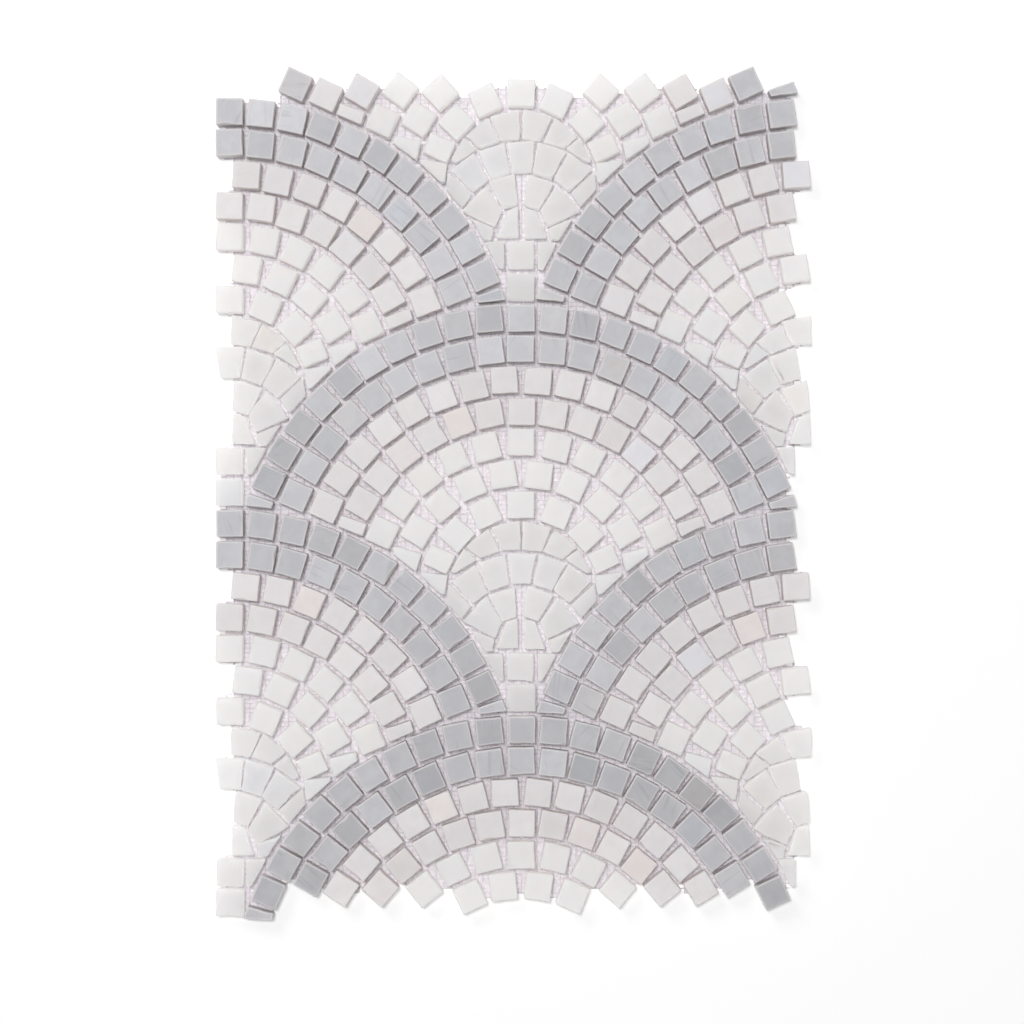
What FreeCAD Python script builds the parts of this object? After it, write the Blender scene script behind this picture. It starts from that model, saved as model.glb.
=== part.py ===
"""Mosaic sheet in a fish scale pattern: marble chips laid by hand on a glass-fibre net.

Each scale is a fan of concentric courses. From the outside in it has two grey courses, two of
blush white and three of white, all of square chips. Inside them is a shell of ivory wedges, set
round a second centre lower down, which ends in a narrow stem of straight rows. Where a course
meets the border of the scales below, its last chip is nipped to that border.

The sheet is one repeat of the pattern: one whole scale, two halves of a scale down each side, and
one more scale shared between the top and bottom edges. Its edges step in and out by a chip, so
that the next sheet locks in without a visible seam.

Frame: millimetres, +Z up. The sheet lies on its net with the chips' faces up, and +Y runs from a
scale's stem to its crown. The origin is at the middle of the sheet's box, under the net.
"""

import FreeCAD
import Part

import math
import os
from collections import namedtuple

# Chips, net and joints
chip_side = 12.0  # a whole square chip
chip_thickness = 8.0
arris = 0.35  # eased edge round each chip's face
joint = 2.0  # between one course and the next, and along a scale's border
shell_joint = 1.2  # round the wedges of the shell, which are laid closer
least_joint = 0.5  # a whole chip may stand this close to the border before it is nipped
least_piece = 15.0  # area of the smallest nipped piece that is worth laying, square mm
net_thickness = 0.5
net_setback = 0.8  # from the chips' outer edges to the edge of the trimmed net
trim_wheel_radius = 7.0  # of the round knife that follows the chips as it trims the net

# A scale, from its own centre
core_radius = 32.9  # outer edge of the wedges, inside the last course of square chips
crown_wedge_length = 12.7  # of the shell's uppermost wedges, where they meet the axis
heart_radius = 14.5  # outer edge of the two innermost wedges, from the shell's lower centre
wedge_length = 13.7  # of the wedges in the two shell courses, along the radius
side_play = 0.6  # each side of the line where two neighbouring scales would touch
crown_depth = 81.6  # from the scale's top, of the part that the bottom edge has

# Courses of square chips, from the outside in. side_joint is the gap between neighbours at
# their inner corners, and a centred course has a chip on the scale's axis.
Course = namedtuple("Course", "band side_joint centred")
courses = [
    Course("grey_border", 1.55, True),
    Course("grey_border", 1.35, True),
    Course("blush_band", 1.75, False),
    Course("blush_band", 1.25, True),
    Course("white_band", 2.25, True),
    Course("white_band", 1.9, False),
]

# Innermost course of square chips: its closing chips are narrowed to share what is left.
Closer = namedtuple("Closer", "angle width")
last_course = Course("white_band", 1.9, True)
last_course_whole_chips = 2  # on each side of the chip on the axis
last_course_closers = [Closer(66.5, 9.6), Closer(82.5, 8.7)]

# Ivory shell, as the angles between which each wedge of the right half lies, in degrees. The
# lower course has a first wedge, one with a corner beside the heart, and one that fills its foot.
crown_wedge_angles = [(1.3, 24.5), (26.8, 49.3), (51.6, 72.0)]  # round the scale's centre
upper_wedge_angles = [(9.8, 26.6), (28.4, 45.1), (47.0, 63.0)]  # round the lower centre
upper_axis_wedge_half_angle = 8.0
lower_wedge_angles = [(5.6, 30.0), (33.0, 64.0), (67.5, 90.5)]  # round the lower centre
foot_corner_radius = 13.2  # inner corners of the last two lower wedges, beside the heart
heart_wedge_angles = (6.0, 26.5)
heart_gap = 2.8  # between the two innermost wedges
heart_foot_width = 9.6  # of each of the two innermost wedges, along their straight foot
stem_chip_width = 11.6  # middle chip of the three in the upper row of the stem

# The sheet's stack of scales: (name, column, row, which chips of it are on the sheet)
scales = [
    ("upper_left_scale", 0, 0, "right half"),
    ("upper_right_scale", 2, 0, "left half"),
    ("centre_scale", 1, 1, "whole"),
    ("lower_left_scale", 0, 2, "right half"),
    ("lower_right_scale", 2, 2, "left half"),
    ("top_scale", 1, -1, "foot"),
    ("bottom_scale", 1, 3, "crown"),
]

# Worked out
course_pitch = chip_side + joint
last_course_radius = core_radius + shell_joint  # inner edge of the last square course
scale_radius = last_course_radius + chip_side + len(courses) * course_pitch
shell_radius = heart_radius + 2 * (shell_joint + wedge_length)
crown_foot_radius = core_radius - crown_wedge_length
shell_drop = shell_radius + shell_joint - crown_foot_radius  # lower centre, below the scale's
stem_length = joint / 2 + 2 * course_pitch
row_rise = (scale_radius + shell_drop + stem_length) / 2  # from one row of scales to the next
half_period = scale_radius + side_play  # from one column of scales to the next
border_radius = scale_radius + joint
crown_height = scale_radius - crown_depth  # over the scale's centre

Chip = namedtuple("Chip", "band course outline")


def polar(angle, radius, drop=0.0):
    """The point at an angle from straight up, clockwise, round a centre drop below the scale's."""
    turn = math.radians(angle)
    return FreeCAD.Vector(radius * math.sin(turn), radius * math.cos(turn) - drop, 0)


def middle_of(outline):
    """The mean of an outline's corners."""
    return sum(outline, FreeCAD.Vector()) * (1.0 / len(outline))


def area_of(outline):
    """The area inside an outline, by the shoelace rule."""
    ahead = outline[1:] + outline[:1]
    return abs(sum(p.x * q.y - q.x * p.y for p, q in zip(outline, ahead))) / 2


def cut_by_line(outline, normal, reach):
    """What is left of a convex outline past the line that lies reach along normal."""
    kept = []
    for here, ahead in zip(outline, outline[1:] + outline[:1]):
        here_past = here.dot(normal) - reach
        ahead_past = ahead.dot(normal) - reach
        if here_past >= 0:
            kept.append(here)
        if here_past * ahead_past < 0:
            kept.append(here + (ahead - here) * (here_past / (here_past - ahead_past)))
    return kept


def is_worth_laying(outline):
    """Whether a nipped piece is large enough to be laid."""
    return area_of(outline) >= least_piece


def nipped(outline):
    """The outline with one straight nip to each border of the scales below that it crosses."""
    for side in (-1, 1):
        below = FreeCAD.Vector(side * half_period, -row_rise, 0)
        outwards = (middle_of(outline) - below).normalize()
        nearest = min((corner - below).dot(outwards) for corner in outline)
        if nearest < scale_radius + least_joint:
            outline = cut_by_line(outline, outwards, below.dot(outwards) + border_radius)
        if not is_worth_laying(outline):
            break
    return outline


def square_outline(inner_radius, angle, width):
    """A square chip, or a narrower one, with the middle of its inner edge at inner_radius."""
    outwards = polar(angle, 1)
    along = polar(angle + 90, width / 2)
    foot = outwards * inner_radius
    head = outwards * (inner_radius + chip_side)
    return [foot - along, head - along, head + along, foot + along]


def wedge_outline(angles, inner_radii, outer_radius, drop):
    """A wedge with straight edges, between two angles round a centre drop below the scale's.

    It has an inner radius of its own at each of the two angles.
    """
    start, end = angles
    start_radius, end_radius = inner_radii
    return [
        polar(start, start_radius, drop),
        polar(start, outer_radius, drop),
        polar(end, outer_radius, drop),
        polar(end, end_radius, drop),
    ]


def mirrored(outline):
    """The same outline on the other side of the scale's axis, with its corners still in order."""
    return [FreeCAD.Vector(-corner.x, corner.y, 0) for corner in reversed(outline)]


def both_sides(outlines):
    """The outlines of the right half together with their mirror images."""
    return outlines + [mirrored(outline) for outline in outlines]


def inner_radius_of(number):
    """The radius of the circle that a course of square chips stands on."""
    return scale_radius - number * course_pitch - chip_side


def angle_between_chips(course, inner_radius):
    """The angle from one chip of a course to the next."""
    return 2 * math.degrees(math.asin((chip_side + course.side_joint) / 2 / inner_radius))


def course_outlines(number):
    """A course of square chips, laid from the axis to both borders and nipped there."""
    course = courses[number]
    inner_radius = inner_radius_of(number)
    pitch = angle_between_chips(course, inner_radius)
    angle = pitch if course.centred else pitch / 2
    right_half = []
    while angle < 90:
        outline = nipped(square_outline(inner_radius, angle, chip_side))
        if not is_worth_laying(outline):
            break
        right_half.append(outline)
        angle += pitch
    on_axis = [square_outline(inner_radius, 0, chip_side)] if course.centred else []
    return on_axis + both_sides(right_half)


def last_course_outlines():
    """The innermost course of square chips, with its narrowed closing chips."""
    inner_radius = inner_radius_of(len(courses))
    pitch = angle_between_chips(last_course, inner_radius)
    right_half = [
        square_outline(inner_radius, pitch * step, chip_side)
        for step in range(1, last_course_whole_chips + 1)
    ]
    right_half += [
        nipped(square_outline(inner_radius, closer.angle, closer.width))
        for closer in last_course_closers
    ]
    return [square_outline(inner_radius, 0, chip_side)] + both_sides(right_half)


def reach_to_shell(angle):
    """How far from the scale's centre the top of the shell's upper wedges lies at an angle."""
    turn = math.radians(angle)
    across = shell_drop * math.sin(turn)
    along = shell_drop * math.cos(turn)
    return math.sqrt((shell_radius + shell_joint) ** 2 - across**2) - along


def crown_wedge_outline(start, end):
    """A wedge between the last square course and the shell's upper wedges."""
    return [
        polar(start, reach_to_shell(start)),
        polar(start, core_radius),
        polar(end, core_radius),
        polar(end, reach_to_shell(end)),
    ]


def shell_outlines():
    """The ivory wedges: the crown course, the two courses below it and the two at the heart.

    The last upper wedge has one more nip, to the closing chip of the square courses.
    """
    upper_inner = shell_radius - wedge_length
    lower_outer = upper_inner - shell_joint
    lower_inner = lower_outer - wedge_length
    upper_inner_radii = (upper_inner, upper_inner)
    lower_inner_radii = [
        (lower_inner, lower_inner),
        (lower_inner, foot_corner_radius),
        (foot_corner_radius, foot_corner_radius),
    ]
    half = upper_axis_wedge_half_angle
    on_axis = [wedge_outline((-half, half), upper_inner_radii, shell_radius, shell_drop)]

    right_half = [crown_wedge_outline(start, end) for start, end in crown_wedge_angles]
    right_half += [
        wedge_outline(angles, upper_inner_radii, shell_radius, shell_drop)
        for angles in upper_wedge_angles
    ]
    towards_centre = polar(last_course_closers[-1].angle, -1)
    right_half[-1] = cut_by_line(right_half[-1], towards_centre, -core_radius)
    right_half += [
        wedge_outline(angles, inner_radii, lower_outer, shell_drop)
        for angles, inner_radii in zip(lower_wedge_angles, lower_inner_radii)
    ]
    start, end = heart_wedge_angles
    foot = -shell_drop + joint / 2
    right_half.append(
        [
            FreeCAD.Vector(heart_gap / 2, foot, 0),
            polar(start, heart_radius, shell_drop),
            polar(end, heart_radius, shell_drop),
            FreeCAD.Vector(heart_gap / 2 + heart_foot_width, foot, 0),
        ]
    )
    return on_axis + both_sides([nipped(outline) for outline in right_half])


def box_outline(left, right, bottom, top):
    """An upright rectangle."""
    corners = [(left, bottom), (left, top), (right, top), (right, bottom)]
    return [FreeCAD.Vector(x, y, 0) for x, y in corners]


def stem_outlines():
    """The stem's two straight rows: three chips across, then a single one at the cusp."""
    upper_top = -shell_drop - joint / 2
    lower_top = upper_top - course_pitch
    half = stem_chip_width / 2
    middle = box_outline(-half, half, upper_top - chip_side, upper_top)
    beside = box_outline(half + joint, half + joint + chip_side, upper_top - chip_side, upper_top)
    last = box_outline(-chip_side / 2, chip_side / 2, lower_top - chip_side, lower_top)
    return [middle, nipped(last)] + both_sides([nipped(beside)])


def scale_chips():
    """Every chip of a whole scale, round its own centre."""
    chips = []
    for number, course in enumerate(courses):
        chips += [Chip(course.band, number, outline) for outline in course_outlines(number)]
    last = len(courses)
    chips += [Chip(last_course.band, last, outline) for outline in last_course_outlines()]
    inside = shell_outlines() + stem_outlines()
    chips += [Chip("ivory_shell", last + 1, outline) for outline in inside]
    return [chip for chip in chips if is_worth_laying(chip.outline)]


def is_crown(chip):
    """Whether a chip belongs to the crown, which a sheet has along its bottom edge.

    Of the outer course's two nipped ends, the left goes with the crown and the right with the foot.
    """
    middle = middle_of(chip.outline)
    is_nipped = area_of(chip.outline) < chip_side * (chip_side - least_joint)
    if chip.course == 0 and is_nipped:
        return middle.x < 0
    return middle.y > crown_height


def is_on_sheet(chip, share):
    """Whether the sheet has this chip of a scale that it holds only a share of."""
    axis_tolerance = least_joint / 2
    if share == "right half":
        return middle_of(chip.outline).x > -axis_tolerance
    if share == "left half":
        return middle_of(chip.outline).x < -axis_tolerance
    if share == "crown":
        return is_crown(chip)
    if share == "foot":
        return not is_crown(chip)
    return True


def moved(outline, shift):
    """The outline carried along by shift."""
    return [corner + shift for corner in outline]


def sheet_chips():
    """The outlines of all chips, by node name, centred on the sheet's middle."""
    whole_scale = scale_chips()
    nodes = {}
    for name, column, row, share in scales:
        centre = FreeCAD.Vector(column * half_period, -row * row_rise, 0)
        for chip in whole_scale:
            if is_on_sheet(chip, share):
                node = name + "_" + chip.band
                nodes.setdefault(node, []).append(moved(chip.outline, centre))
    corners = [corner for outlines in nodes.values() for outline in outlines for corner in outline]
    across = [corner.x for corner in corners]
    along = [corner.y for corner in corners]
    middle = FreeCAD.Vector(min(across) + max(across), min(along) + max(along), 0) * 0.5
    return {
        node: [moved(outline, middle * -1) for outline in outlines]
        for node, outlines in nodes.items()
    }


def inset(outline, distance):
    """A convex outline, whose corners run clockwise, with every edge moved in by distance."""
    edges = []
    for here, ahead in zip(outline, outline[1:] + outline[:1]):
        along = (ahead - here).normalize()
        inwards = FreeCAD.Vector(along.y, -along.x, 0)
        edges.append((here + inwards * distance, along))
    corners = []
    for (point, along), (next_point, next_along) in zip(edges[-1:] + edges[:-1], edges):
        sine = along.cross(next_along).z
        step = (next_point - point).cross(next_along).z / sine
        corners.append(point + along * step)
    return corners


def wheel_centre(here, ahead):
    """The wheel's centre when it touches two corners with the sheet on the left."""
    chord = ahead - here
    rise = math.sqrt(trim_wheel_radius**2 - (chord.Length / 2) ** 2)
    right = FreeCAD.Vector(chord.y, -chord.x, 0).normalize()
    return here + chord * 0.5 + right * rise


def net_outline(outlines):
    """The net's edge: the corners that a wheel touches as it rolls once round all the chips.

    The wheel starts at the leftmost corner and pivots on each corner it touches, anticlockwise,
    until it meets the next one. Its size lets it into the steps along the edge, but not into
    the joints, so the net still bridges them.
    """
    corners = [corner for outline in outlines for corner in inset(outline, net_setback)]
    start = min(corners, key=lambda corner: (corner.x, corner.y))
    here, centre = start, start - FreeCAD.Vector(trim_wheel_radius, 0, 0)
    edge = [start]
    smallest_turn = 1e-6
    while True:
        reference = math.atan2(centre.y - here.y, centre.x - here.x)
        best = None
        for corner in corners:
            if not 0 < (corner - here).Length <= 2 * trim_wheel_radius:
                continue
            candidate = wheel_centre(here, corner)
            turn = math.atan2(candidate.y - here.y, candidate.x - here.x) - reference
            turn = (turn - smallest_turn) % (2 * math.pi)
            if best is None or turn < best[0]:
                best = (turn, corner, candidate)
        here, centre = best[1:]
        if here.isEqual(start, smallest_turn):
            return edge
        edge.append(here)


def prism(outline, bottom, height):
    """An upright prism on an outline."""
    raised = moved(outline, FreeCAD.Vector(0, 0, bottom))
    face = Part.Face(Part.makePolygon(raised + raised[:1]))
    return face.extrude(FreeCAD.Vector(0, 0, height))


def arris_of(outline):
    """The arris, or on a sliver half the inset at which the first of its edges would vanish.

    An edge gets shorter at both ends as it moves in, by the tangent of half the turn there.
    """
    ahead = outline[1:] + outline[:1]
    edges = [there - here for here, there in zip(outline, ahead)]
    half_turns = [edge.getAngle(after) / 2 for edge, after in zip(edges, edges[1:] + edges[:1])]
    ends = zip(half_turns[-1:] + half_turns, half_turns)
    shrinkages = [math.tan(start) + math.tan(end) for start, end in ends]
    vanishing = min(edge.Length / shrinkage for edge, shrinkage in zip(edges, shrinkages))
    return min(arris, vanishing / 2)


def chip_solid(outline):
    """A chip on the net, with the edges of its face eased."""
    eased = arris_of(outline)
    top = net_thickness + chip_thickness
    block = prism(outline, net_thickness, chip_thickness)
    face_edges = [edge for edge in block.Edges if edge.BoundBox.ZMin > top - eased]
    return block.makeChamfer(eased, face_edges)


def net_solid(outlines):
    """The net as a thin sheet, trimmed round the chips. Its weave is too fine to model here."""
    return prism(net_outline(outlines), 0, net_thickness)


def main():
    """Writes one STEP file for each node."""
    os.makedirs("parts", exist_ok=True)
    nodes = sheet_chips()
    for node, outlines in nodes.items():
        solids = [chip_solid(outline) for outline in outlines]
        Part.Compound(solids).exportStep("parts/" + node + ".step")
    all_outlines = [outline for outlines in nodes.values() for outline in outlines]
    net_solid(all_outlines).exportStep("parts/glass_fibre_net.step")
    print("chips:", len(all_outlines), "nodes:", len(nodes) + 1)
    print("scale radius", scale_radius, "row rise", row_rise, "shell drop", shell_drop)


main()
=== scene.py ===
"""Looks of a marble mosaic sheet: chips laid by hand in a fish scale pattern on a woven net.

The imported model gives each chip's outline and the net's trimmed edge. Every chip is cut again
here as a surface of its own, with worn arrises, ragged nips and a slightly uneven lay, and the
net's plain sheet becomes twisted warp pairs, wefts and the glue between them. Lengths are metres.
"""

import logging
import math
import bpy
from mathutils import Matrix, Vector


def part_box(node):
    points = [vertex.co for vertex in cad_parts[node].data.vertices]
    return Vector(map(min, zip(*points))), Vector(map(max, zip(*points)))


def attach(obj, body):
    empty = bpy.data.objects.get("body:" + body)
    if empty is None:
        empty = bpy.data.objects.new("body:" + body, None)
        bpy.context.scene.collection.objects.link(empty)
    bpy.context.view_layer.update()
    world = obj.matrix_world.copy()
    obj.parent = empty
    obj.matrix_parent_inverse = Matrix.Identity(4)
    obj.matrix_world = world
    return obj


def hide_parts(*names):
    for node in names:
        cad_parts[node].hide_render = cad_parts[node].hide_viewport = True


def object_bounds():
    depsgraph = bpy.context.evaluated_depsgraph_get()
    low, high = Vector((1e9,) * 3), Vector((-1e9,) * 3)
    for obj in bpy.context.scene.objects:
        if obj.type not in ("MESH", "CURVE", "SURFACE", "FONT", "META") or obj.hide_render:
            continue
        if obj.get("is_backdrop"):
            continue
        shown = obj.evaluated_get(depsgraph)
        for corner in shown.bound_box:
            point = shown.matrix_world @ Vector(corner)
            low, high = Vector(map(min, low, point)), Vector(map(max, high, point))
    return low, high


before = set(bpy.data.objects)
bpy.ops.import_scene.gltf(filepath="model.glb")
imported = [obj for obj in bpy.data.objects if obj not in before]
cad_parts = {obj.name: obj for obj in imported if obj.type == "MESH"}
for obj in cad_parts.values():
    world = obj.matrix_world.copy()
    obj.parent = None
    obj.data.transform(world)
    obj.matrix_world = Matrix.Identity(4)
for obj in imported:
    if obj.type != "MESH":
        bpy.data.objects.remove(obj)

import zlib
from dataclasses import dataclass
from enum import Enum

import bpy
import numpy as np

Array = np.ndarray
Colour = tuple[float, float, float]
Edge = tuple[float, float]  # the levels of noise at which a mark starts to show and shows in full
Socket = bpy.types.NodeSocket
Material = bpy.types.Material
Piece = bpy.types.Object
Value = float | tuple[float, ...] | Socket

log = logging.getLogger("mosaic")

MM = 0.001
NET_NODE = "glass_fibre_net"
BODY = "root"
SMOOTH_UNDER = math.radians(30)  # edges that turn less than this are shaded smooth
ON_FOOT = 0.01 * MM  # a vertex that is nearer than this to a node's foot is on it
REFRACTION = 1.5  # of marble, resin and glue alike
BEAD_AND_GLINT: Colour = (0.87, 0.85, 0.875)  # of dried glue where it stands thick on the net, and a painted highlight: its glint where raised glue catches the light
BEAD_AND_GLINT_SPACING = 1.3 * MM
BEAD_AND_GLINT_EDGE: Edge = (0.64, 0.71)
BEAD_AND_GLINT_SHARE = 0.75


class Stone(Enum):
    """The four stones, by the ending of their nodes' names."""

    GREY = "grey_border"
    BLUSH = "blush_band"
    WHITE = "white_band"
    IVORY = "ivory_shell"


def seeded(name: str) -> np.random.Generator:
    """A random generator that gives a named piece the same draws in every run."""
    return np.random.default_rng(zlib.crc32(name.encode()))


def mesh_piece(name: str, points: Array, faces: list[Array], attributes: dict[str, Array]) -> Piece:
    """Makes a mesh object from whole arrays.

    Args:
        name: The piece's name.
        points: Its vertices, one row each.
        faces: Arrays of vertex numbers, one row a face, each array with its own corner count.
        attributes: One value or one vector for each vertex, by name, for the materials.

    Returns:
        The object, at the origin, unturned and unscaled.
    """
    mesh = bpy.data.meshes.new(name)
    corners = np.concatenate([rows.ravel() for rows in faces])
    counts = np.concatenate([np.full(len(rows), rows.shape[1]) for rows in faces])
    mesh.vertices.add(len(points))
    mesh.vertices.foreach_set("co", points.astype(np.float32).ravel())
    mesh.loops.add(len(corners))
    mesh.loops.foreach_set("vertex_index", corners.astype(np.int32))
    mesh.polygons.add(len(counts))
    mesh.polygons.foreach_set("loop_start", (np.cumsum(counts) - counts).astype(np.int32))
    mesh.update(calc_edges=True)
    mesh.validate()
    mesh.shade_smooth()
    mesh.set_sharp_from_angle(angle=SMOOTH_UNDER)
    for key, values in attributes.items():
        kind = "FLOAT_VECTOR" if values.ndim == 2 else "FLOAT"
        field = "vector" if values.ndim == 2 else "value"
        layer = mesh.attributes.new(key, kind, "POINT")
        layer.data.foreach_set(field, values.astype(np.float32).ravel())
    piece = bpy.data.objects.new(name, mesh)
    bpy.context.scene.collection.objects.link(piece)
    return piece


def dressed(piece: Piece, finish: Material, node: str) -> Piece:
    """Gives a piece its finish and its place in the frame.

    Args:
        piece: The piece.
        finish: Its material.
        node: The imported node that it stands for.

    Returns:
        The piece.
    """
    piece.data.materials.append(finish)
    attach(piece, BODY)
    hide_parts(node)
    return piece


class Shader:
    """One material's nodes, with short calls to add to them."""

    def __init__(self, name: str) -> None:
        """Starts an empty material.

        Args:
            name: The material's name.
        """
        self.material = bpy.data.materials.new(name)
        self.material.use_nodes = True
        self.tree = self.material.node_tree
        self.tree.nodes.clear()

    def add(self, kind: str, inputs: dict[str | int, Value], **settings: object) -> bpy.types.Node:
        """Adds a node.

        Args:
            kind: The node's type, without its ShaderNode prefix.
            inputs: A value, or the socket that feeds it, for each input.
            settings: The node's own properties.

        Returns:
            The node.
        """
        node = self.tree.nodes.new("ShaderNode" + kind)
        for key, setting in settings.items():
            setattr(node, key, setting)
        for key, value in inputs.items():
            if isinstance(value, Socket):
                self.tree.links.new(value, node.inputs[key])
            else:
                node.inputs[key].default_value = value
        return node

    def attribute(self, name: str) -> bpy.types.Node:
        """The piece's own attribute of that name."""
        return self.add("Attribute", {}, attribute_name=name)

    def noise(self, vector: Socket, size: float, detail: float = 2.0) -> Socket:
        """Smooth noise with lumps of about that size in metres."""
        node = self.add("TexNoise", {"Vector": vector, "Scale": 1 / size, "Detail": detail})
        return node.outputs[0]

    def stretched(self, vector: Socket, scale: tuple[float, float, float]) -> Socket:
        """The vector with each of its parts scaled."""
        return self.add("VectorMath", {0: vector, 1: scale}, operation="MULTIPLY").outputs[0]

    def between(self, value: Value, low: float, high: float, top: float = 1.0) -> Socket:
        """0 up to low, top from high on, and smooth in between."""
        inputs = {"Value": value, "From Min": low, "From Max": high, "To Max": top}
        return self.add("MapRange", inputs, interpolation_type="SMOOTHSTEP").outputs[0]

    def maths(self, operation: str, first: Value, second: Value = 0.0) -> Socket:
        """One sum on two values."""
        return self.add("Math", {0: first, 1: second}, operation=operation).outputs[0]

    def times(self, first: Value, second: Value) -> Socket:
        """The product of two values."""
        return self.maths("MULTIPLY", first, second)

    def bumped(self, height: Socket, depth: float, strength: float) -> Socket:
        """The surface's normal, with that relief on it."""
        inputs = {"Height": height, "Distance": depth, "Strength": strength}
        return self.add("Bump", inputs).outputs[0]

    def mixed(self, share: Value, first: Value, second: Value) -> Socket:
        """The first colour, with that share of the second."""
        pair = [value + (1.0,) if isinstance(value, tuple) else value for value in (first, second)]
        return self.add("Mix", {0: share, 6: pair[0], 7: pair[1]}, data_type="RGBA").outputs[2]

    def finish(self, surface: Socket) -> Material:
        """Ends the material with that surface shader."""
        self.add("OutputMaterial", {"Surface": surface})
        return self.material

    def coated(self, colour: Socket, roughness: float, normal: Socket) -> Material:
        """Ends the material with a plain coat of that colour, roughness and relief."""
        inputs = {"Base Color": colour, "Roughness": roughness, "Normal": normal, "IOR": REFRACTION}
        return self.finish(self.add("BsdfPrincipled", inputs).outputs[0])


@dataclass(frozen=True)
class MarbleFinish:
    """Honed marble, with colours in linear light."""

    slot: str
    body: Colour
    cloud: Colour  # of soft lighter or darker clouds
    streak: Colour  # of thin parallel streaks
    stain: Colour
    rim: Colour  # of sawn walls and worn arrises: partly the paler bruised stone, partly painted light, walls painted paler and warmer for the light that the stone carries into its shaded joints
    streak_share: float
    stain_share: float
    tone_range: float  # how far one chip's brightness may lie from the stone's own
    tint_range: float  # the same for a drift from cold to warm
    translucency: float
    light_path: float  # how far light goes in the stone before it turns
    painted_sheen: float = 0.0  # the tone ranges by which the sheet's top is painted paler than its middle: a painted sheen, the glare of a lamp above the top edge
    glow: float = 0.0  # share of the light that crosses the whole chip and lights its joints
    roughness: float = 0.5
    clearing: float = 0.7  # how much nearer to white that light is than the stone
    cloud_size: float = 9 * MM
    cloud_edge: Edge = (0.38, 0.66)
    streak_width: float = 1.6 * MM
    streak_run: tuple[float, float, float] = (1.0, 0.06, 0.3)  # draws noise out into streaks
    streak_edge: Edge = (0.56, 0.68)
    patch_size: float = 26 * MM  # of the patches that hold streaks
    patch_edge: Edge = (0.5, 0.58)
    stain_size: float = 14 * MM
    stain_edge: Edge = (0.66, 0.76)
    rim_share: float = 0.75
    grain_size: float = 0.45 * MM
    grain_height: float = 0.02  # against that of a nip's broken facets
    facet_size: float = 1.1 * MM
    relief_depth: float = 0.35 * MM
    cloud_matting: float = 0.06  # what a cloud adds to the roughness
    facet_matting: float = 0.2

    def material(self) -> Material:
        """Clouds, streaks and stains in the slab that each chip came from, then its own tone.

        Returns:
            The material, which reads the chips' slab, tone, warmth, arris and ragged attributes.
        """
        sheet = Shader(self.slot + "_honed")
        slab = sheet.attribute("slab").outputs["Vector"]
        tone = sheet.attribute("tone").outputs["Fac"]
        warmth = sheet.attribute("warmth").outputs["Fac"]
        arris = sheet.attribute("arris").outputs["Fac"]
        ragged = sheet.attribute("ragged").outputs["Fac"]

        clouds = sheet.between(sheet.noise(slab, self.cloud_size, 4.0), *self.cloud_edge)
        colour = sheet.mixed(clouds, self.body, self.cloud)
        lines = sheet.noise(sheet.stretched(slab, self.streak_run), self.streak_width, 2.0)
        patches = sheet.between(sheet.noise(slab, self.patch_size, 1.0), *self.patch_edge)
        streaks = sheet.times(sheet.between(lines, *self.streak_edge), patches)
        colour = sheet.mixed(sheet.times(streaks, self.streak_share), colour, self.streak)
        blotches = sheet.noise(slab, self.stain_size, 5.0)
        stains = sheet.between(blotches, *self.stain_edge, self.stain_share)
        colour = sheet.mixed(stains, colour, self.stain)
        toned = {0: tone, 1: self.tone_range, 2: 1.0}
        brightness = sheet.add("Math", toned, operation="MULTIPLY_ADD").outputs[0]
        colour = sheet.add("HueSaturation", {"Color": colour, "Value": brightness}).outputs[0]
        tint = sheet.times(warmth, self.tint_range)
        drift = sheet.add("CombineColor", {0: tint, 2: sheet.times(tint, -1.0)}).outputs[0]
        colour = sheet.add("VectorMath", {0: colour, 1: drift}, operation="ADD").outputs[0]
        # painted light: the rim colour paints the walls paler and warmer, most at their foot, for
        # the light that the stone carries into its shaded joints; on the arrises it is also the
        # paler bruised stone
        colour = sheet.mixed(sheet.times(arris, self.rim_share), colour, self.rim)

        grain = sheet.noise(slab, self.grain_size, 3.0)
        facets = sheet.times(sheet.noise(slab, self.facet_size, 4.0), ragged)
        relief = sheet.maths("ADD", sheet.times(grain, self.grain_height), facets)
        normal = sheet.bumped(relief, self.relief_depth, 0.8)
        matt = sheet.times(clouds, self.cloud_matting)
        matt = sheet.maths("ADD", matt, sheet.times(ragged, self.facet_matting))
        surface = sheet.add(
            "BsdfPrincipled",
            {
                "Base Color": colour,
                "Roughness": sheet.maths("ADD", matt, self.roughness),
                "Normal": normal,
                "IOR": REFRACTION,
                "Subsurface Weight": self.translucency,
                "Subsurface Radius": (1.0, 0.88, 0.82),
                "Subsurface Scale": self.light_path,
            },
        )
        cleared = sheet.mixed(self.clearing, colour, (1.0, 1.0, 1.0))
        crossing = sheet.add("BsdfTranslucent", {"Color": cleared})
        pair = {1: surface.outputs[0], 2: crossing.outputs[0]}
        return sheet.finish(sheet.add("MixShader", {0: self.glow} | pair).outputs[0])


def beaded_and_glinting(sheet: Shader, place: Socket, colour: Socket) -> Socket:
    """Adds white beads of dried glue, which run on from the yarns into the net's holes.
    Their white is partly a painted highlight, the glint where raised glue catches the light.

    Args:
        sheet: The material.
        place: The place on the net.
        colour: The colour between the beads and their painted glints.

    Returns:
        The colour with the beads and their painted glints.
    """
    # painted highlight: part of the beads' white is the glint of raised glue
    beads_and_glints = sheet.between(sheet.noise(place, BEAD_AND_GLINT_SPACING, 1.0), *BEAD_AND_GLINT_EDGE, BEAD_AND_GLINT_SHARE)
    return sheet.mixed(beads_and_glints, colour, BEAD_AND_GLINT)


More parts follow.
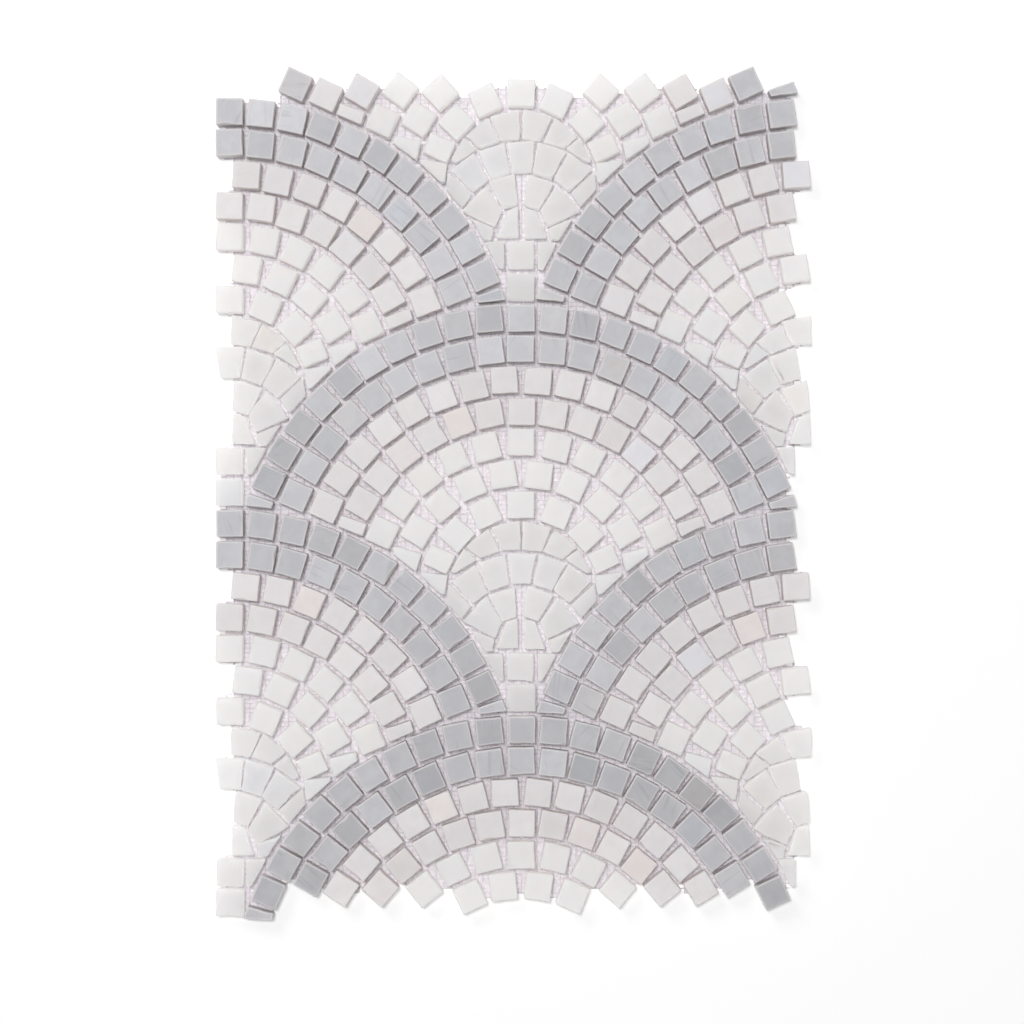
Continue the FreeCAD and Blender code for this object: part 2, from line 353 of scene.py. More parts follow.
@dataclass(frozen=True)
class YarnFinish:
    """Glass fibre soaked with resin, which dulls it to a mauve grey."""

    fibre: Colour = (0.54, 0.49, 0.53)
    coat: Colour = (0.67, 0.63, 0.68)
    coat_share: float = 0.9
    smear_size: float = 3 * MM
    smear_edge: Edge = (0.36, 0.66)
    filament_width: float = 0.16 * MM
    filament_run: tuple[float, float, float] = (0.05, 1.0, 1.0)  # draws noise out along a yarn
    filament_depth: float = 0.06 * MM
    roughness: float = 0.55

    def material(self) -> Material:
        """Filaments along each yarn, under a coat of resin that is thicker here and there.

        Returns:
            The material, which reads the yarns' strand attribute and the place on the net.
        """
        sheet = Shader("resin_coated_yarn")
        strand = sheet.attribute("strand").outputs["Vector"]
        place = sheet.add("TexCoord", {}).outputs["Object"]
        filaments = sheet.noise(sheet.stretched(strand, self.filament_run), self.filament_width)
        smears = sheet.noise(place, self.smear_size, 4.0)
        smears = sheet.between(smears, *self.smear_edge, self.coat_share)
        colour = beaded_and_glinting(sheet, place, sheet.mixed(smears, self.fibre, self.coat))
        normal = sheet.bumped(filaments, self.filament_depth, 0.7)
        return sheet.coated(colour, self.roughness, normal)


@dataclass(frozen=True)
class GlueFinish:
    """White glue with a lilac cast, dried in the net's holes."""

    body: Colour = (0.725, 0.692, 0.728)
    thin: Colour = (0.625, 0.588, 0.625)
    pool_size: float = 1.6 * MM
    pool_edge: Edge = (0.36, 0.6)
    wrinkle_size: float = 0.7 * MM
    wrinkle_depth: float = 0.15 * MM
    roughness: float = 0.5

    def material(self) -> Material:
        """Thinner and thicker places, with a slightly wrinkled skin.

        Returns:
            The material, which reads the place on the net.
        """
        sheet = Shader("dried_glue")
        place = sheet.add("TexCoord", {}).outputs["Object"]
        pools = sheet.between(sheet.noise(place, self.pool_size, 4.0), *self.pool_edge)
        colour = beaded_and_glinting(sheet, place, sheet.mixed(pools, self.thin, self.body))
        wrinkles = sheet.noise(place, self.wrinkle_size, 3.0)
        normal = sheet.bumped(wrinkles, self.wrinkle_depth, 0.6)
        return sheet.coated(colour, self.roughness, normal)


STONE_FINISHES = {
    Stone.GREY: MarbleFinish(
        slot="grey_marble",
        body=(0.466, 0.462, 0.486),
        cloud=(0.521, 0.522, 0.543),
        streak=(0.34, 0.345, 0.365),
        stain=(0.48, 0.46, 0.40),
        rim=(0.74, 0.705, 0.70),
        streak_share=0.45,
        stain_share=0.3,
        tone_range=0.15,
        tint_range=0.012,
        painted_sheen=0.5,
        translucency=0.6,
        light_path=1.5 * MM,
    ),
    Stone.BLUSH: MarbleFinish(
        slot="blush_marble",
        body=(0.812, 0.787, 0.796),
        cloud=(0.852, 0.83, 0.842),
        streak=(0.76, 0.715, 0.715),
        stain=(0.79, 0.715, 0.64),
        rim=(0.89, 0.835, 0.82),
        streak_share=0.25,
        stain_share=0.4,
        tone_range=0.06,
        tint_range=0.025,
        translucency=0.85,
        light_path=2.2 * MM,
        glow=0.24,
    ),
    Stone.WHITE: MarbleFinish(
        slot="white_marble",
        body=(0.915, 0.917, 0.92),
        cloud=(0.93, 0.93, 0.937),
        streak=(0.875, 0.865, 0.87),
        stain=(0.93, 0.885, 0.82),
        rim=(0.96, 0.92, 0.90),
        streak_share=0.2,
        stain_share=0.35,
        tone_range=0.03,
        tint_range=0.025,
        translucency=1.0,
        light_path=3.5 * MM,
        glow=0.43,
    ),
    Stone.IVORY: MarbleFinish(
        slot="ivory_marble",
        body=(0.88, 0.871, 0.869),
        cloud=(0.91, 0.901, 0.90),
        streak=(0.85, 0.834, 0.818),
        stain=(0.89, 0.845, 0.775),
        rim=(0.91, 0.89, 0.875),
        streak_share=0.2,
        stain_share=0.35,
        tone_range=0.025,
        tint_range=0.02,
        translucency=1.0,
        light_path=4.5 * MM,
        glow=0.62,
    ),
}


def node_faces(node: str) -> tuple[Array, Array]:
    """Reads a node's mesh with its doubled vertices merged, and leaves the node as it is.

    Args:
        node: The node's name.

    Returns:
        The vertices, and the vertex numbers of each triangle.
    """
    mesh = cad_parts[node].data
    points = np.empty(len(mesh.vertices) * 3, np.float32)
    mesh.vertices.foreach_get("co", points)
    mesh.calc_loop_triangles()
    triangles = np.empty(len(mesh.loop_triangles) * 3, np.int32)
    mesh.loop_triangles.foreach_get("vertices", triangles)
    merged, place = np.unique(points.reshape(-1, 3).round(6), axis=0, return_inverse=True)
    return merged.astype(float), place.ravel()[triangles].reshape(-1, 3)


def joined_labels(count: int, triangles: Array) -> Array:
    """Labels each vertex with the lowest vertex number of the solid that it belongs to.

    The lowest label spreads over the triangles until nothing changes.

    Args:
        count: How many vertices there are.
        triangles: Their numbers, one row a triangle.

    Returns:
        One label a vertex.
    """
    labels = np.arange(count)
    while True:
        lowest = np.repeat(labels[triangles].min(axis=1), 3)
        spread = labels.copy()
        np.minimum.at(spread, triangles.ravel(), lowest)
        if np.array_equal(spread, labels):
            return labels
        labels = spread


def chip_outlines(node: str) -> list[Array]:
    """Reads the outlines of a node's chips from the corners of their undersides.

    Corners are ordered by their angle about their chip's middle, so that an outline runs
    anticlockwise, and chips are ordered by place.

    Args:
        node: The node's name.

    Returns:
        One array for each number of corners, with a row of corners a chip.
    """
    points, triangles = node_faces(node)
    labels = joined_labels(len(points), triangles)
    foot = points[:, 2] < points[:, 2].min() + ON_FOOT
    corners = points[foot, :2]
    _, chip = np.unique(labels[foot], return_inverse=True)
    count = np.bincount(chip)
    middle = np.stack([np.bincount(chip, corners[:, axis]) / count for axis in (0, 1)], 1)
    away = corners - middle[chip]
    turn = np.arctan2(away[:, 1], away[:, 0])
    place = np.empty(len(count), int)
    place[np.lexsort((middle[:, 0].round(4), middle[:, 1].round(4)))] = np.arange(len(count))
    order = np.lexsort((turn, place[chip]))
    corners, count_each = corners[order], count[chip][order]
    return [corners[count_each == sides].reshape(-1, sides, 2) for sides in np.unique(count)]


def turned(vectors: Array) -> Array:
    """The vectors turned a quarter turn to the left."""
    return np.stack([-vectors[..., 1], vectors[..., 0]], -1)


def unit(vectors: Array) -> Array:
    """The vectors at length 1."""
    return vectors / np.linalg.norm(vectors, axis=-1, keepdims=True)


@dataclass
class HandLaidChips:
    """One stone's chips of one scale, cut, nipped and laid by hand."""

    node: str
    stone: Stone
    finish: Material
    side_samples: int = 4
    corner_radius: float = 0.45 * MM
    arris: float = 0.36 * MM
    arris_range: tuple[float, float] = (0.7, 1.35)  # of its wear along one edge, in arrises
    rim: float = 0.55 * MM  # flat border inside the arris, so that the face stays flat
    room_share: float = 0.8  # of the way that a small chip's sides can move in, for arris and rim
    wander: float = 0.2 * MM  # of a chip from its place
    most_wander: float = 0.32 * MM
    cut_error: float = 0.07 * MM  # of each corner
    twist: float = math.radians(1.1)
    most_twist: float = math.radians(2.2)
    tilt: float = 0.008  # slope of the face
    most_sink: float = 0.3 * MM
    least_nip: float = 0.1  # sine of twice the angle off the saw's line that tells a nipped side
    hand_cut: float = 0.35  # how nipped the ivory shell's sides are at least
    sawn_raggedness: float = 0.035 * MM
    nipped_raggedness: float = 0.24 * MM
    foot_follows: float = 0.5  # share of a side's raggedness that its foot has too
    foot_scatter: float = 0.8  # what a nip's foot adds of its own
    face_follows: float = 0.3  # share of a side's raggedness that the rim has too
    least_sound_room: float = 4 * MM  # a piece with less stone behind its nip breaks off cleaner
    nick_chance: float = 0.03
    nip_nick_chance: float = 0.05  # added where a side is nipped
    nick_size: float = 2.4  # in arrises
    nick_room_share: float = 0.6  # the most that a nick takes of the same way
    paler: tuple[float, ...] = (1.25, 1.1, 0.8, 0.0)  # the stone at each ring, from foot to face: partly paler bruised stone, partly painted light, palest at the walls' foot where the joints are most shaded
    slab_turn: float = 0.25  # radians by which chips lie off the slab's grain
    draw_spread: float = 0.5  # of tone and warmth, in their ranges

    def __post_init__(self) -> None:
        """Sets up the draws, and takes the heights from the node."""
        self.random = seeded(self.node)
        low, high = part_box(self.node)
        self.foot, self.top = low.z, high.z

    def laid(self, outlines: Array) -> Array:
        """Moves, turns and cuts each chip a little off its nominal place and size.

        Args:
            outlines: The nominal outlines of chips with equally many corners.

        Returns:
            The outlines as laid.
        """
        count = len(outlines)
        middle = outlines.mean(axis=1, keepdims=True)
        angle = self.random.normal(0, self.twist, (count, 1))
        angle = np.clip(angle, -self.most_twist, self.most_twist)
        shift = self.random.normal(0, self.wander, (count, 1, 2))
        shift = np.clip(shift, -self.most_wander, self.most_wander)
        away = outlines - middle + self.random.normal(0, self.cut_error, outlines.shape)
        spun = away * np.cos(angle)[..., None] + turned(away) * np.sin(angle)[..., None]
        return middle + shift + spun

    @staticmethod
    def saw_angle(outlines: Array) -> Array:
        """The direction of each chip's sawn sides, from its sides' four-fold mean direction.

        Args:
            outlines: The chips' outlines.

        Returns:
            One angle a chip.
        """
        sides = np.roll(outlines, -1, axis=1) - outlines
        length = np.linalg.norm(sides, axis=-1)
        turn = np.arctan2(sides[..., 1], sides[..., 0])
        return np.angle((length * np.exp(4j * turn)).sum(axis=1)) / 4

    def nipped_sides(self, outlines: Array) -> Array:
        """How far each side is from a sawn one.

        Args:
            outlines: The chips' outlines.

        Returns:
            For each side 0 where it was sawn and 1 where it was nipped off.
        """
        sides = np.roll(outlines, -1, axis=1) - outlines
        turn = np.arctan2(sides[..., 1], sides[..., 0]) - self.saw_angle(outlines)[:, None]
        nipped = (np.abs(np.sin(2 * turn)) > self.least_nip).astype(float)
        return np.maximum(nipped, self.hand_cut) if self.stone is Stone.IVORY else nipped

    @staticmethod
    def mitres(outlines: Array) -> Array:
        """How each corner moves when all sides move in by 1.

        That is the sum of both inward normals, divided by one plus the cosine between them.

        Args:
            outlines: The chips' outlines.

        Returns:
            One vector a corner.
        """
        along = unit(np.roll(outlines, -1, axis=1) - outlines)
        inwards = turned(along)
        before = np.roll(inwards, 1, axis=1)
        cosine = (inwards * before).sum(axis=-1, keepdims=True)
        return (inwards + before) / (1 + cosine)

    def rounded(self, outlines: Array) -> Array:
        """Samples each outline: a rounded corner's middle, then points along the side after it.

        A corner's radius eats into both sides, by up to a quarter of the shorter one.

        Args:
            outlines: Outlines with equally many corners.

        Returns:
            The samples of each outline, one row an outline.
        """
        ahead = np.roll(outlines, -1, axis=1) - outlines
        length = np.linalg.norm(ahead, axis=-1, keepdims=True)
        shorter = np.minimum(length, np.roll(length, 1, axis=1))
        radius = np.minimum(self.corner_radius, shorter / 4)
        along = ahead / length
        start = outlines + along * radius
        end = np.roll(outlines, -1, axis=1) - along * np.roll(radius, -1, axis=1)
        chord = (start + np.roll(end, 1, axis=1)) / 2
        corner_depth = 0.586  # where a quarter circle passes between its corner and its chord
        corner = outlines + (chord - outlines) * corner_depth
        share = np.linspace(0, 1, self.side_samples)[:, None]
        side = start[:, :, None] * (1 - share) + end[:, :, None] * share
        return np.concatenate([corner[:, :, None], side], axis=2).reshape(len(outlines), -1, 2)

    def per_sample(self, per_side: Array) -> Array:
        """Spreads one value a side over that side's samples, and a corner gets its sides' mean.

        Args:
            per_side: The values, one row a chip.

        Returns:
            One value a sample, in the order of the rounded outline.
        """
        corner = (per_side + np.roll(per_side, 1, axis=1)) / 2
        side = np.repeat(per_side[..., None], self.side_samples, axis=2)
        return np.concatenate([corner[..., None], side], axis=2).reshape(len(per_side), -1)

    def rings(self, outlines: Array) -> tuple[Array, Array, Array]:
        """Carries a chip's section round its outline, from the foot over the arris to the face.

        The section is a wall, a worn arris and a flat rim. Every ring is the outline moved in by
        the section's reach at that step, less a ragged offset that fades towards the face. All
        rings above the foot hang from a slightly sunk and tilted face.

        Args:
            outlines: The laid outlines of chips with equally many corners.

        Returns:
            The rings' points, a value of 0 to 1 for how ragged each is, and one for how much
            paler the stone is there: partly bruised stone, partly painted light on the walls.
        """
        count = len(outlines)
        mitres = self.mitres(outlines)
        ahead = np.linalg.norm(np.roll(outlines, -1, axis=1) - outlines, axis=-1)
        take_up = np.linalg.norm(mitres, axis=-1)
        room = (ahead / (take_up + np.roll(take_up, -1, axis=1))).min(axis=1)
        fit = np.minimum(1, self.room_share * room / (self.arris + self.rim))[:, None]

        base = self.rounded(outlines)
        outwards = -unit(turned(unit(np.roll(base, -1, axis=1) - np.roll(base, 1, axis=1))))
        nipped = self.per_sample(self.nipped_sides(outlines))
        samples = base.shape[1]
        reach = self.sawn_raggedness + nipped * (self.nipped_raggedness - self.sawn_raggedness)
        reach = reach * np.minimum(1, room / self.least_sound_room)[:, None]
        ragged_top = self.random.normal(0, 1, (count, samples)) * reach
        scatter = self.random.normal(0, self.foot_scatter, (count, samples)) * reach * nipped
        ragged_foot = self.foot_follows * ragged_top + scatter
        wear = fit * self.random.uniform(*self.arris_range, (count, samples)) * self.arris
        chance = self.nick_chance + self.nip_nick_chance * nipped
        nick = self.random.random((count, samples)) < chance
        deepest = self.nick_room_share * room[:, None]
        wear = np.where(nick, np.minimum(wear * self.nick_size, deepest), wear)

        slope = self.random.normal(0, self.tilt, (count, 1, 2))
        sink = self.random.uniform(0, self.most_sink, (count, 1))
        away = base - base.mean(axis=1, keepdims=True)
        lean = (away * slope).sum(axis=-1)
        face = np.minimum(self.top - sink + lean, self.top)

        reaches = [0 * wear, 0 * wear, wear, wear + fit * self.rim]
        drops = [None, wear, 0 * wear, 0 * wear]
        offsets = [ragged_foot, ragged_top, ragged_top, self.face_follows * ragged_top]
        layers = []
        for inset, drop, offset in zip(reaches, drops, offsets):
            level = np.full_like(face, self.foot) if drop is None else face - drop
            mean_inset = inset.mean(axis=1)[:, None, None]
            flat = self.rounded(outlines + mitres * mean_inset)
            flat = flat + outwards * (offset - inset + mean_inset[..., 0])[..., None]
            layers.append(np.concatenate([flat, level[..., None]], axis=-1))
        points = np.stack(layers, axis=1)
        ragged = np.broadcast_to(nipped[:, None], points.shape[:3]).copy()
        ragged[:, -2:] = 0
        # painted light on the walls, palest at the foot where the joint is shaded; the arris's
        # paleness is partly bruised stone
        arris = np.broadcast_to(np.array(self.paler)[:, None], points.shape[:3]).copy()
        arris[:, 0] *= 1 - nipped
        return points, ragged, arris

    def slab_places(self, outlines: Array, points: Array) -> Array:
        """Where each point lay in the slab that its chip was sawn from.

        The chip's own directions, turned a little and perhaps a quarter turn, become the slab's,
        about a random place in it.

        Args:
            outlines: The laid outlines of the chips.
            points: Their rings' points.

        Returns:
            The place in the slab of each of those points.
        """
        count = len(outlines)
        quarter = self.random.integers(0, 2, count) * math.pi / 2
        off_grain = self.random.normal(0, self.slab_turn, count)
        angle = (-self.saw_angle(outlines) + quarter + off_grain)[:, None, None, None]
        middle = outlines.mean(axis=1)[:, None, None]
        away = points[..., :2] - middle
        flat = away * np.cos(angle) + turned(away) * np.sin(angle)
        place = np.concatenate([flat, points[..., 2:]], axis=-1)
        return place + self.random.uniform(-1, 1, (count, 1, 1, 3))

    def build(self) -> Piece:
        """Builds and dresses the node's chips as one piece.

        Returns:
            The piece, with one closed surface for each chip.
        """
        points, faces = [], []
        values = {"slab": [], "tone": [], "warmth": [], "arris": [], "ragged": []}
        low, high = (np.array(corner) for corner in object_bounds())
        start = 0
        for nominal in chip_outlines(self.node):
            outlines = self.laid(nominal)
            grid, ragged, arris = self.rings(outlines)
            count, layers, samples, _ = grid.shape
            number = start + np.arange(count * layers * samples).reshape(count, layers, samples)
            ahead = np.roll(number, -1, axis=2)
            wall = np.stack([number[:, :-1], ahead[:, :-1], ahead[:, 1:], number[:, 1:]], -1)
            faces += [wall.reshape(-1, 4), number[:, -1], number[:, 0, ::-1]]
            draws = np.clip(self.random.normal(0, self.draw_spread, (2, count, 1, 1)), -1, 1)
            draws[1] **= 3  # most chips hardly differ in warmth, and a few do by much
            height = outlines.mean(axis=1)[:, 1] / high[1]  # from -1 to 1 up the sheet
            # painted sheen: the chips are painted paler towards the sheet's top, for a lamp's glare
            # from above
            draws[0] += STONE_FINISHES[self.stone].painted_sheen * height[:, None, None]
            tone, warmth = (np.broadcast_to(draw, number.shape) for draw in draws)
            values["slab"].append(self.slab_places(outlines, grid).reshape(-1, 3))
            values["tone"].append(tone.ravel())
            values["warmth"].append(warmth.ravel())
            values["arris"].append(arris.ravel())
            values["ragged"].append(ragged.ravel())
            points.append(grid.reshape(-1, 3))
            start += number.size
        inside_sheet = np.clip(np.concatenate(points), low, high)
        attributes = {key: np.concatenate(rows) for key, rows in values.items()}
        piece = mesh_piece(self.node + "_chips", inside_sheet, faces, attributes)
        return dressed(piece, self.finish, self.node)


@dataclass
class WovenNet:
    """The glass-fibre net: wefts across the sheet, held by twisted pairs of warps along it."""

    yarn_finish: Material
    glue_finish: Material
    warp_pitch: float = 3.5 * MM
    weft_pitch: float = 2.08 * MM  # every second weft is a strong one
    warp_width: float = 0.5 * MM
    warp_spread: float = 0.2 * MM  # of each warp from its pair's middle
    strong_weft: float = 0.8 * MM
    weak_weft: float = 0.5 * MM
    sway: float = 0.07 * MM  # of a weft from its straight line
    yarn_thickness: float = 0.17 * MM
    unevenness: float = 0.15  # of a yarn's width along it
    lift: float = 0.13 * MM  # of the upper warps over the wefts
    fray: float = 0.5 * MM
    film_thickness: float = 0.1 * MM  # of the glue under its rim, and a quarter of it above
    film_reach: tuple[float, float] = (0.48, 0.55)  # of its corners, in pitches from its middle
    film_levels: tuple[float, float] = (-0.04, 0.1)  # in millimetres from the net's middle

    def __post_init__(self) -> None:
        """Takes the net's levels and its trimmed edge from the node."""
        self.random = seeded(NET_NODE)
        low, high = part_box(NET_NODE)
        self.low, self.high = np.array(low), np.array(high)
        self.middle_level = (low.z + high.z) / 2
        self.edge = self.trimmed_edge()

    def trimmed_edge(self) -> Array:
        """The net's edge as a pair of points for each straight stretch of it.

        A triangle of the net's side wall with two corners on the underside gives one stretch.

        Returns:
            One pair of points a stretch.
        """
        points, triangles = node_faces(NET_NODE)
        under = points[triangles][..., 2] < self.low[2] + ON_FOOT
        walls = under.sum(axis=1) == 2
        return points[triangles[walls][under[walls]].reshape(-1, 2)][..., :2]

    def runs(self, axis: int, level: float, least: float) -> list[tuple[float, float]]:
        """Where a straight yarn lies on the net.

        Args:
            axis: The axis that the yarn crosses, 0 for a warp and 1 for a weft.
            level: The yarn's place on that axis.
            least: The shortest stretch that stays.

        Returns:
            The start and end of each stretch inside the trimmed edge.
        """
        first, second = self.edge[:, 0], self.edge[:, 1]
        crossing = (first[:, axis] > level) != (second[:, axis] > level)
        first, second = first[crossing], second[crossing]
        share = (level - first[:, axis]) / (second[:, axis] - first[:, axis])
        other = 1 - axis
        place = np.sort(first[:, other] + share * (second[:, other] - first[:, other]))
        frayed = self.random.uniform(0, self.fray, (len(place) // 2, 2)) * [1, -1]
        return [(start, end) for start, end in place.reshape(-1, 2) + frayed if end - start > least]

    def lines(self, axis: int, pitch: float) -> Array:
        """The yarns' places on an axis, a pitch apart over the net, centred on it.

        Args:
            axis: The axis that the yarns cross.
            pitch: The step from one yarn to the next.

        Returns:
            One place a yarn, from the lowest up.
        """
        count = int((self.high[axis] - self.low[axis]) / pitch)
        middle = (self.high[axis] + self.low[axis]) / 2
        return middle + (np.arange(count) - (count - 1) / 2) * pitch

    def yarn(self, path: Array, across: Array, width: float) -> tuple[Array, Array]:
        """A flat yarn's rings: four points about its path, at half its width and thickness.

        Args:
            path: The points that the yarn passes.
            across: The unit vector of its width.
            width: Its mean width.

        Returns:
            The rings' points, and for the finish the distance along, around and the yarn's number.
        """
        least, most = 1 - self.unevenness, 1 + self.unevenness
        wide = width / 2 * self.random.uniform(least, most, (len(path), 1))
        thick = np.array([0, 0, self.yarn_thickness / 2])
        ring = np.stack([path - across * wide, path - thick, path + across * wide, path + thick], 1)
        along = np.linalg.norm(path - path[0], axis=1)
        around = np.array([-width, 0, width, 0]) / 2
        number = self.random.uniform(0, 10)
        strand = np.stack(np.broadcast_arrays(along[:, None], around, number), -1)
        return ring, strand

    def gathered(self, name: str, yarns: list[tuple[Array, Array]]) -> Piece:
        """Joins yarns into one piece, with a flat cut at both ends of each.

        Args:
            name: The piece's name.
            yarns: The rings and strand values of each yarn.

        Returns:
            The piece, in its finish.
        """
        faces, start = [], 0
        for ring, _ in yarns:
            number = start + np.arange(len(ring) * 4).reshape(-1, 4)
            ahead = np.roll(number, -1, axis=1)
            skin = np.stack([number[:-1], ahead[:-1], ahead[1:], number[1:]], -1).reshape(-1, 4)
            faces += [skin, number[:1, ::-1], number[-1:]]
            start += number.size
        points = np.concatenate([ring.reshape(-1, 3) for ring, _ in yarns])
        strand = np.concatenate([values.reshape(-1, 3) for _, values in yarns])
        piece = mesh_piece(name, points, faces, {"strand": strand})
        return dressed(piece, self.yarn_finish, NET_NODE)

    def wefts(self) -> Piece:
        """The yarns across the sheet, strong and weak by turns, at the net's middle level.

        Returns:
            All wefts as one piece.
        """
        yarns = []
        for number, level in enumerate(self.lines(1, self.weft_pitch)):
            width = self.weak_weft if number % 2 else self.strong_weft
            for start, end in self.runs(1, level, self.warp_pitch):
                count = max(2, round((end - start) / (2 * self.warp_pitch)))
                along = np.linspace(start, end, count)
                swayed = level + self.random.normal(0, self.sway, count)
                path = np.stack([along, swayed, np.full(count, self.middle_level)], 1)
                yarns.append(self.yarn(path, np.array([0, -1, 0]), width))
        return self.gathered("net_wefts", yarns)

    def warps(self, side: int) -> Piece:
        """One yarn of every twisted pair.

        It swaps sides with its partner between wefts, so its place swings about the pair's middle
        by one spread at each weft.

        Args:
            side: 1 for the yarns over the wefts, and -1 for those under them.

        Returns:
            Those yarns as one piece.
        """
        wefts = self.lines(1, self.weft_pitch)
        yarns = []
        for level in self.lines(0, self.warp_pitch):
            for start, end in self.runs(0, level, 2 * self.weft_pitch):
                inner = np.flatnonzero((wefts > start) & (wefts < end))
                swing = np.where(inner % 2, 1, -1) * side * self.warp_spread
                along = np.concatenate([[start], wefts[inner], [end]])
                across = np.concatenate([swing[:1], swing, swing[-1:]]) + level
                height = np.full(len(along), self.middle_level + side * self.lift)
                path = np.stack([across, along, height], 1)
                yarns.append(self.yarn(path, np.array([1, 0, 0]), self.warp_width))
        name = "net_upper_warps" if side > 0 else "net_lower_warps"
        return self.gathered(name, yarns)

    def holds(self, places: Array) -> Array:
        """Whether the net's edge encloses each place, by how often a line to its right crosses it.

        Args:
            places: The places, one row each.

        Returns:
            True for each place on the net.
        """
        first, second = self.edge[:, 0], self.edge[:, 1]
        rows = places[:, None]
        across = (first[:, 1] > rows[..., 1]) != (second[:, 1] > rows[..., 1])
        rise = np.where(across, second[:, 1] - first[:, 1], 1)
        meet = first[:, 0] + (rows[..., 1] - first[:, 1]) / rise * (second[:, 0] - first[:, 0])
        return (across & (meet > rows[..., 0])).sum(axis=1) % 2 == 1

    def glue(self) -> Piece:
        """Dried glue in the net's holes: in each a flat lens between the yarns round it.

        A lens has four corners, which reach under the yarns, and two poles, above and below its
        middle.

        Returns:
            All lenses as one piece.
        """
        across = self.lines(0, self.warp_pitch)[:-1] + self.warp_pitch / 2
        along = self.lines(1, self.weft_pitch)[:-1] + self.weft_pitch / 2
        holes = np.stack(np.meshgrid(across, along), -1).reshape(-1, 2)
        margin = np.array([[-1, -1], [1, -1], [1, 1], [-1, 1]]) * [self.warp_pitch, self.weft_pitch]
        reach = self.random.uniform(*self.film_reach, (len(holes), 4, 1))
        corners = holes[:, None] + margin * reach
        inside = self.holds(corners.reshape(-1, 2)).reshape(-1, 4).all(axis=1)
        corners = corners[inside]
        level = self.middle_level + self.random.uniform(*self.film_levels, (len(corners), 1)) * MM
        lens = np.empty((len(corners), 6, 3))
        lens[:, :4, :2] = corners
        lens[:, 4:, :2] = corners.mean(axis=1, keepdims=True)
        lens[:, :4, 2] = level
        lens[:, 4:, 2] = level + [-self.film_thickness, self.film_thickness / 4]
        number = np.arange(len(lens))[:, None, None] * 6
        rim = np.stack([np.arange(4), np.roll(np.arange(4), -1)], 1)
        above = np.concatenate([rim, np.full((4, 1), 5)], 1)
        below = np.concatenate([rim[:, ::-1], np.full((4, 1), 4)], 1)
        faces = (number + np.concatenate([above, below])).reshape(-1, 3)
        piece = mesh_piece("net_glue", lens.reshape(-1, 3), [faces], {})
        return dressed(piece, self.glue_finish, NET_NODE)


@dataclass(frozen=True)
class SoftLamp:
    """A round soft lamp that faces the sheet's middle."""

    name: str
    azimuth: float  # its direction from the sheet, in degrees clockwise from the top edge
    tilt: float  # its angle from straight up, in degrees
    distance: float  # from the sheet
    width: float  # its diameter
    power: float  # in watts

    def hang(self) -> None:
        """Hangs the lamp in its place and turns it to the sheet."""
        light = bpy.data.lights.new(self.name, "AREA")
        light.shape = "DISK"
        light.size = self.width
        light.energy = self.power
        lamp = bpy.data.objects.new(self.name, light)
        turn, lean = math.radians(self.azimuth), math.radians(self.tilt)
        lamp.location = (
            self.distance * math.sin(lean) * math.sin(turn),
            self.distance * math.sin(lean) * math.cos(turn),
            self.distance * math.cos(lean),
        )
        lamp.rotation_mode = "QUATERNION"
        lamp.rotation_quaternion = lamp.location.to_track_quat("Z", "Y")
        bpy.context.scene.collection.objects.link(lamp)


LAMPS = (
    SoftLamp("key", azimuth=-33, tilt=11, distance=2.7, width=0.45, power=33),
    SoftLamp("front", azimuth=0, tilt=0, distance=2.6, width=0.6, power=13.3),
    SoftLamp("side", azimuth=-40, tilt=50, distance=2.0, width=1.0, power=9),
)


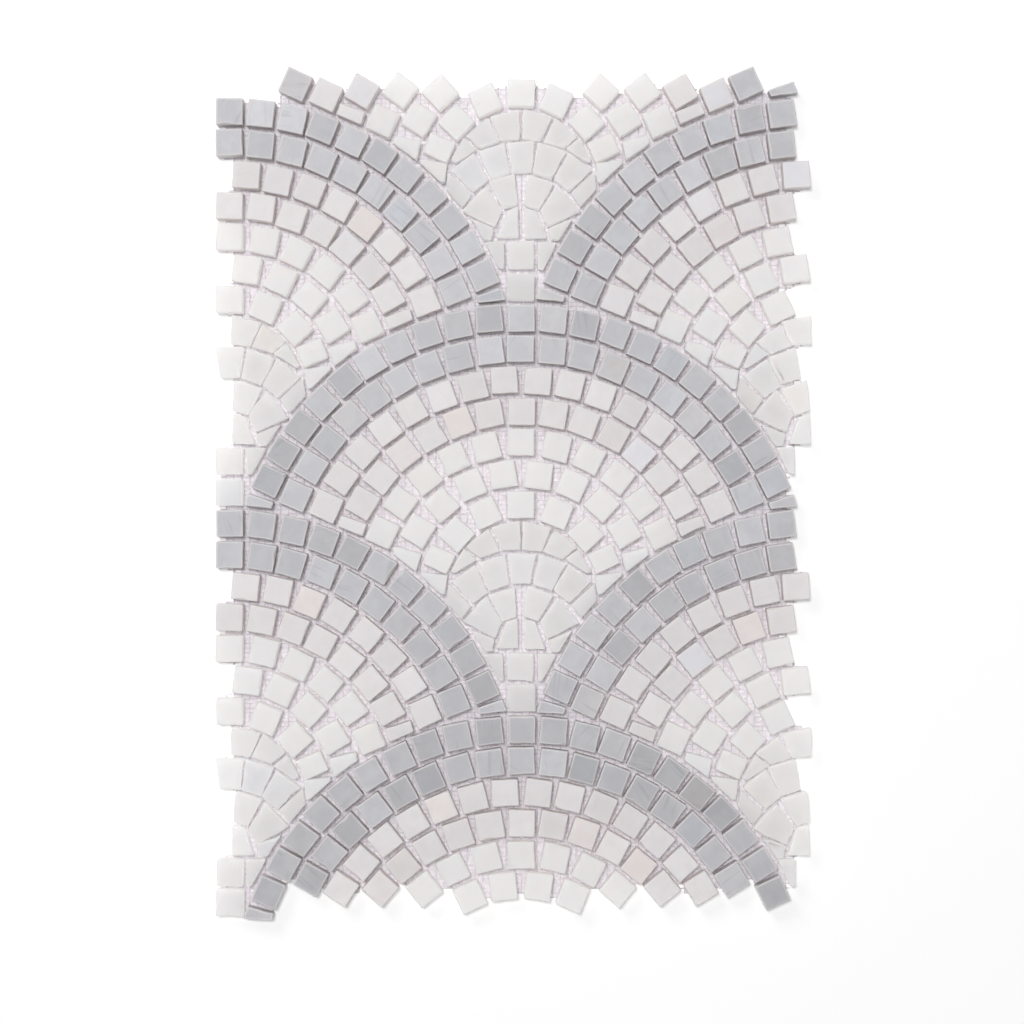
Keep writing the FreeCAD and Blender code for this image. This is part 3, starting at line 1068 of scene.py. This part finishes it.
@dataclass
class Studio:
    """A pale floor, soft light from above and a camera that looks straight down."""

    photo_pixels: int = 1024
    sheet_centre_pixel: tuple[float, float] = (513.8, 493.1)
    metres_per_pixel: float = 0.4475 * MM
    camera_height: float = 1.16  # over the chips' faces
    camera_reach: float = 50.0
    face_level: float = 8.5 * MM
    floor_size: float = 8.0
    floor_drop: float = 0.02 * MM  # under the net
    floor_colour: Colour = (0.94, 0.94, 0.94)
    floor_glow: float = 0.14  # what the lit floor lacks to look white
    sky: float = 0.18

    def floor(self) -> None:
        """Lays the floor under the net: diffuse, with the glow added only for what sees it."""
        half = self.floor_size / 2
        corners = np.array([[-1, -1, 0], [1, -1, 0], [1, 1, 0], [-1, 1, 0]]) * half
        corners[:, 2] = -self.floor_drop
        piece = mesh_piece("floor", corners, [np.arange(4)[None]], {})
        sheet = Shader("floor")
        path = sheet.add("LightPath", {})
        seen = sheet.maths("MAXIMUM", path.outputs["Is Camera Ray"], path.outputs["Is Glossy Ray"])
        seen = sheet.maths("MAXIMUM", seen, path.outputs["Is Transmission Ray"])
        glow = sheet.add("Emission", {"Strength": sheet.times(seen, self.floor_glow)})
        matt = sheet.add("BsdfDiffuse", {"Color": self.floor_colour + (1.0,)})
        both = sheet.add("AddShader", {0: glow.outputs[0], 1: matt.outputs[0]})
        piece.data.materials.append(sheet.finish(both.outputs[0]))
        piece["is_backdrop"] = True

    def world(self) -> None:
        """An even sky, and white where it is seen."""
        world = bpy.data.worlds.new("studio")
        bpy.context.scene.world = world
        world.use_nodes = True
        nodes, links = world.node_tree.nodes, world.node_tree.links
        path = nodes.new("ShaderNodeLightPath")
        seen = path.outputs["Is Camera Ray"]
        for ray in ("Is Glossy Ray", "Is Transmission Ray"):
            either = nodes.new("ShaderNodeMath")
            either.operation = "MAXIMUM"
            links.new(seen, either.inputs[0])
            links.new(path.outputs[ray], either.inputs[1])
            seen = either.outputs[0]
        strength = nodes.new("ShaderNodeMapRange")
        strength.inputs["To Min"].default_value = self.sky
        strength.inputs["To Max"].default_value = 1.0
        links.new(seen, strength.inputs["Value"])
        background = nodes["Background"]
        background.inputs["Color"].default_value = (1, 1, 1, 1)
        links.new(strength.outputs[0], background.inputs["Strength"])

    def camera(self) -> None:
        """Hangs the camera so that the sheet lies where the photograph has it."""
        half = self.photo_pixels / 2
        right = (half - self.sheet_centre_pixel[0]) * self.metres_per_pixel
        up = (self.sheet_centre_pixel[1] - half) * self.metres_per_pixel
        data = bpy.data.cameras.new("camera")
        frame_width = self.photo_pixels * self.metres_per_pixel
        data.lens = data.sensor_width * self.camera_height / frame_width
        data.clip_end = self.camera_reach
        camera = bpy.data.objects.new("camera", data)
        camera.location = (right, up, self.face_level + self.camera_height)
        bpy.context.scene.collection.objects.link(camera)
        bpy.context.scene.camera = camera

    def build(self) -> None:
        """Sets up floor, sky, lamps and camera."""
        self.floor()
        self.world()
        for lamp in LAMPS:
            lamp.hang()
        self.camera()
        bpy.context.scene.view_settings.view_transform = "Standard"


def report(piece: Piece) -> None:
    """Logs a finished piece."""
    log.info("%s: %d faces", piece.name, len(piece.data.polygons))


def main() -> None:
    """Dresses the sheet and sets up the studio."""
    logging.basicConfig(level=logging.INFO, format="%(name)s: %(message)s")
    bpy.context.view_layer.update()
    for stone, finish in STONE_FINISHES.items():
        marble = finish.material()
        for node in sorted(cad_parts):
            if node.endswith(stone.value):
                report(HandLaidChips(node, stone, marble).build())
    net = WovenNet(YarnFinish().material(), GlueFinish().material())
    for piece in (net.wefts(), net.warps(1), net.warps(-1), net.glue()):
        report(piece)
    Studio().build()


if __name__ == "__main__":
    main()
